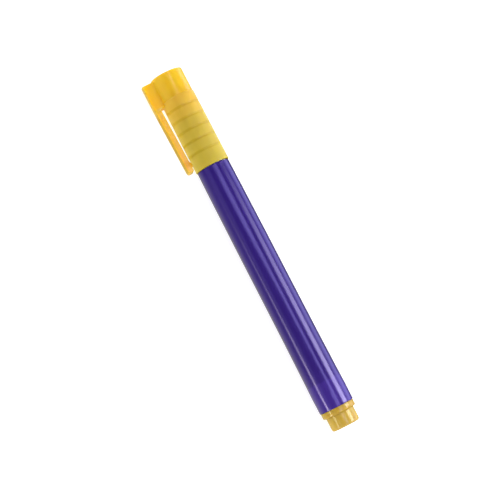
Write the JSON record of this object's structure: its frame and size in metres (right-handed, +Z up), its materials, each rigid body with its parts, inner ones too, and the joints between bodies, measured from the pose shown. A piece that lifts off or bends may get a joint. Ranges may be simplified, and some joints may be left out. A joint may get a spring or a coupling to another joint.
{
  "type": "fabric marking pen",
  "caption": "Capped fibre-tip fabric marking pen with a round barrel, a ribbed clip cap and a plugged end for posting the cap.",
  "frame": {"origin": "middle of the pen's box, on the surface that the pen rests on", "axes": "+X along the pen from the cap to the plug, +Z up from the surface; the clip leans to -Y and touches the surface"},
  "size_m": [0.136, 0.0158, 0.0126],
  "materials": {
    "barrel_plastic": "glossy violet moulding, slightly translucent",
    "nose_plastic": "smooth ivory moulding",
    "nib_fibre": "bonded fibre stained by violet ink",
    "ink_fibre": "lengthwise fibre bundle soaked in violet ink",
    "wrap_film": "clear film sleeve",
    "plug_plastic": "glossy amber-yellow moulding",
    "liner_plastic": "waxy natural moulding",
    "cap_plastic": "yellow moulding, glossy crown and grained ribbed grip",
    "clip_plastic": "smooth yellow moulding"
  },
  "bodies": {
    "barrel": {"barrel": "barrel_plastic", "nose_section": "nose_plastic", "nib": "nib_fibre", "reservoir_core": "ink_fibre", "reservoir_wrap": "wrap_film", "end_plug": "plug_plastic"},
    "liner": {"inner_cap": "liner_plastic"},
    "cap": {"cap": "cap_plastic"},
    "clip": {"clip": "clip_plastic"}
  },
  "joints": [
    {"name": "cap_pull", "type": "slide", "parent": "barrel", "child": "liner", "axis": [-1, 0, 0], "range_m": [0, 0.045]},
    {"name": "cap_turn", "type": "hinge", "parent": "liner", "child": "cap", "pos_m": [-0.05, 0.00162, 0.00632], "axis": [1, 0, 0], "continuous": true},
    {"name": "clip_flex", "type": "hinge", "parent": "cap", "child": "clip", "pos_m": [-0.05757, -0.00721, 0.00199], "axis": [0, 0.4402, -0.8979], "range_deg": [0, 2.5], "stiffness_Nm_per_rad": 0.5}
  ]
}
